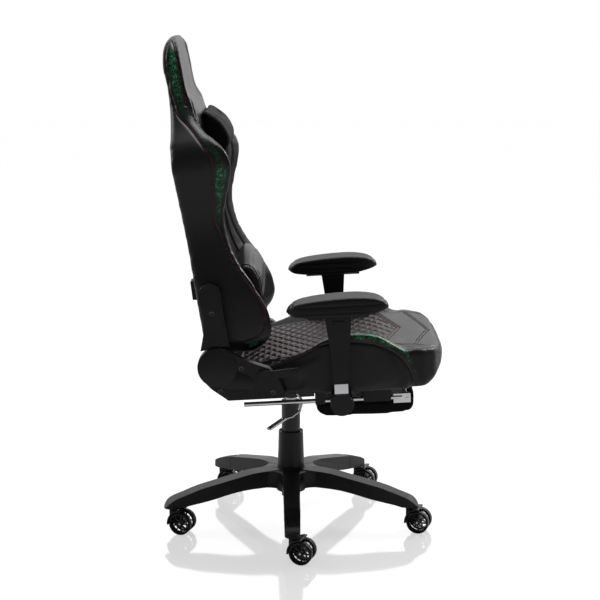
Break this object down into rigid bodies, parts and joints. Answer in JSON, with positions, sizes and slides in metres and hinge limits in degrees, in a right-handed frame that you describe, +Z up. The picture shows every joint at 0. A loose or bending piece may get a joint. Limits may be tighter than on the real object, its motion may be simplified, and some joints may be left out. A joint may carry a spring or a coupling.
{
  "type": "gaming chair",
  "caption": "High-backed gaming chair on a star base with casters: reclining winged back with pillows, lifting arms and a footrest that slides out on rails and flips over.",
  "frame": {"origin": "on the floor, on the axis of the gas lift", "axes": "+X the way the sitter faces, +Y the sitter's left, +Z up along the gas lift"},
  "size_m": [0.7335, 0.7217, 1.3048],
  "materials": {
    "base_plastic": "satin",
    "caster_plastic": "gloss",
    "steel": "satin",
    "black_steel": "satin",
    "chrome": "polished",
    "bolt_steel": "satin",
    "trim_plastic": "fine grain",
    "webbing": "woven",
    "seat_cover": "quilted, grained",
    "side_cover": "grained, with green bands",
    "pad_foam": "soft touch",
    "pillow_cover": "grained",
    "board": "painted"
  },
  "bodies": {
    "base": {"base_star": "base_plastic", "gas_tube": "black_steel", "column_covers": "trim_plastic"},
    "caster_1": {"caster_housing_1": "caster_plastic", "caster_pins_1": "steel"},
    "wheel_1_right": {"caster_wheel_1_right": "caster_plastic"},
    "wheel_1_left": {"caster_wheel_1_left": "caster_plastic"},
    "caster_2": {"caster_housing_2": "caster_plastic", "caster_pins_2": "steel"},
    "wheel_2_right": {"caster_wheel_2_right": "caster_plastic"},
    "wheel_2_left": {"caster_wheel_2_left": "caster_plastic"},
    "caster_3": {"caster_housing_3": "caster_plastic", "caster_pins_3": "steel"},
    "wheel_3_right": {"caster_wheel_3_right": "caster_plastic"},
    "wheel_3_left": {"caster_wheel_3_left": "caster_plastic"},
    "caster_4": {"caster_housing_4": "caster_plastic", "caster_pins_4": "steel"},
    "wheel_4_right": {"caster_wheel_4_right": "caster_plastic"},
    "wheel_4_left": {"caster_wheel_4_left": "caster_plastic"},
    "caster_5": {"caster_housing_5": "caster_plastic", "caster_pins_5": "steel"},
    "wheel_5_right": {"caster_wheel_5_right": "caster_plastic"},
    "wheel_5_left": {"caster_wheel_5_left": "caster_plastic"},
    "piston": {"piston_rod": "steel"},
    "seat": {"gas_cylinder": "steel", "seat_plate": "black_steel", "seat_frame": "black_steel", "seat_webbing": "webbing", "seat_cushion": "seat_cover", "seat_bolster_right": "side_cover", "seat_bolster_left": "side_cover", "seat_bolts": "bolt_steel", "arm_brackets": "chrome", "arm_elbows": "trim_plastic", "arm_post_right": "trim_plastic", "arm_post_left": "trim_plastic", "recline_seat_plates": "black_steel", "recline_covers_lower": "trim_plastic", "footrest_guides": "trim_plastic"},
    "valve": {"valve_pin": "steel"},
    "lift_lever": {"lift_lever": "chrome"},
    "arm_right": {"arm_slider_right": "trim_plastic", "arm_pad_right": "pad_foam"},
    "button_right": {"arm_button_right": "trim_plastic"},
    "arm_left": {"arm_slider_left": "trim_plastic", "arm_pad_left": "pad_foam"},
    "button_left": {"arm_button_left": "trim_plastic"},
    "back": {"recline_back_plates": "black_steel", "recline_covers_upper": "trim_plastic", "back_frame": "black_steel", "back_cushion": "seat_cover", "back_wing_right": "side_cover", "back_wing_left": "side_cover", "head_pillow": "pillow_cover", "lumbar_pillow": "pillow_cover", "pillow_straps": "webbing"},
    "recline_lever": {"recline_lever": "trim_plastic"},
    "footrest_slide": {"footrest_rails": "chrome"},
    "footrest": {"footrest_frame": "board", "footrest_pad": "seat_cover"}
  },
  "joints": [
    {"name": "caster_swivel_1", "type": "hinge", "parent": "base", "child": "caster_1", "pos_m": [0.00578, -0.33095, 0.075], "axis": [0, 0, 1], "continuous": true},
    {"name": "wheel_spin_1_right", "type": "hinge", "parent": "caster_1", "child": "wheel_1_right", "pos_m": [0.03145, -0.33929, 0.03], "axis": [0.309, 0.9511, 0], "continuous": true},
    {"name": "wheel_spin_1_left", "type": "hinge", "parent": "caster_1", "child": "wheel_1_left", "pos_m": [0.03145, -0.33929, 0.03], "axis": [0.309, 0.9511, 0], "continuous": true},
    {"name": "caster_swivel_2", "type": "hinge", "parent": "base", "child": "caster_2", "pos_m": [0.31654, -0.09677, 0.075], "axis": [0, 0, 1], "continuous": true},
    {"name": "wheel_spin_2_right", "type": "hinge", "parent": "caster_2", "child": "wheel_2_right", "pos_m": [0.34221, -0.10512, 0.03], "axis": [0.309, 0.9511, 0], "continuous": true},
    {"name": "wheel_spin_2_left", "type": "hinge", "parent": "caster_2", "child": "wheel_2_left", "pos_m": [0.34221, -0.10512, 0.03], "axis": [0.309, 0.9511, 0], "continuous": true},
    {"name": "caster_swivel_3", "type": "hinge", "parent": "base", "child": "caster_3", "pos_m": [0.18985, 0.27114, 0.075], "axis": [0, 0, 1], "continuous": true},
    {"name": "wheel_spin_3_right", "type": "hinge", "parent": "caster_3", "child": "wheel_3_right", "pos_m": [0.21553, 0.2628, 0.03], "axis": [0.309, 0.9511, 0], "continuous": true},
    {"name": "wheel_spin_3_left", "type": "hinge", "parent": "caster_3", "child": "wheel_3_left", "pos_m": [0.21553, 0.2628, 0.03], "axis": [0.309, 0.9511, 0], "continuous": true},
    {"name": "caster_swivel_4", "type": "hinge", "parent": "base", "child": "caster_4", "pos_m": [-0.1992, 0.26435, 0.075], "axis": [0, 0, 1], "continuous": true},
    {"name": "wheel_spin_4_right", "type": "hinge", "parent": "caster_4", "child": "wheel_4_right", "pos_m": [-0.17352, 0.256, 0.03], "axis": [0.309, 0.9511, 0], "continuous": true},
    {"name": "wheel_spin_4_left", "type": "hinge", "parent": "caster_4", "child": "wheel_4_left", "pos_m": [-0.17352, 0.256, 0.03], "axis": [0.309, 0.9511, 0], "continuous": true},
    {"name": "caster_swivel_5", "type": "hinge", "parent": "base", "child": "caster_5", "pos_m": [-0.31297, -0.10776, 0.075], "axis": [0, 0, 1], "continuous": true},
    {"name": "wheel_spin_5_right", "type": "hinge", "parent": "caster_5", "child": "wheel_5_right", "pos_m": [-0.28729, -0.11611, 0.03], "axis": [0.309, 0.9511, 0], "continuous": true},
    {"name": "wheel_spin_5_left", "type": "hinge", "parent": "caster_5", "child": "wheel_5_left", "pos_m": [-0.28729, -0.11611, 0.03], "axis": [0.309, 0.9511, 0], "continuous": true},
    {"name": "seat_swivel", "type": "hinge", "parent": "base", "child": "piston", "pos_m": [0, 0, 0.3], "axis": [0, 0, 1], "continuous": true},
    {"name": "seat_height", "type": "slide", "parent": "piston", "child": "seat", "axis": [0, 0, 1], "range_m": [0, 0.085]},
    {"name": "lift_lever_pull", "type": "hinge", "parent": "seat", "child": "lift_lever", "pos_m": [0.00077, -0.061, 0.39732], "axis": [-0.9986, 0, -0.0523], "range_deg": [0, 5], "stiffness_Nm_per_rad": 6, "springref_deg": -3.44},
    {"name": "valve_press", "type": "slide", "parent": "seat", "child": "valve", "axis": [0, 0, -1], "range_m": [0, 0.0056]},
    {"name": "recline", "type": "hinge", "parent": "seat", "child": "back", "pos_m": [-0.18057, 0, 0.49466], "axis": [0, -1, 0], "range_deg": [-8, 55]},
    {"name": "recline_lever_pull", "type": "hinge", "parent": "seat", "child": "recline_lever", "pos_m": [-0.06332, -0.3, 0.47377], "axis": [0, -1, 0], "range_deg": [0, 25], "stiffness_Nm_per_rad": 1, "springref_deg": -22.92},
    {"name": "footrest_pull", "type": "slide", "parent": "seat", "child": "footrest_slide", "axis": [0.9986, 0, 0.0523], "range_m": [0, 0.2]},
    {"name": "footrest_flip", "type": "hinge", "parent": "footrest_slide", "child": "footrest", "pos_m": [0.302, 0, 0.38176], "axis": [0, -1, 0], "range_deg": [0, 180]},
    {"name": "arm_height_right", "type": "slide", "parent": "seat", "child": "arm_right", "axis": [-0.0523, 0, 0.9986], "range_m": [0, 0.07]},
    {"name": "arm_button_press_right", "type": "slide", "parent": "seat", "child": "button_right", "axis": [0, 1, 0], "range_m": [0, 0.003], "stiffness_N_per_m": 400, "springref_m": -0.002},
    {"name": "arm_height_left", "type": "slide", "parent": "seat", "child": "arm_left", "axis": [-0.0523, 0, 0.9986], "range_m": [0, 0.07]},
    {"name": "arm_button_press_left", "type": "slide", "parent": "seat", "child": "button_left", "axis": [0, -1, 0], "range_m": [0, 0.003], "stiffness_N_per_m": 400, "springref_m": -0.002}
  ],
  "couplings": [
    {"joint": "valve_press", "follows": "lift_lever_pull", "m_per_rad": 0.0625}
  ]
}
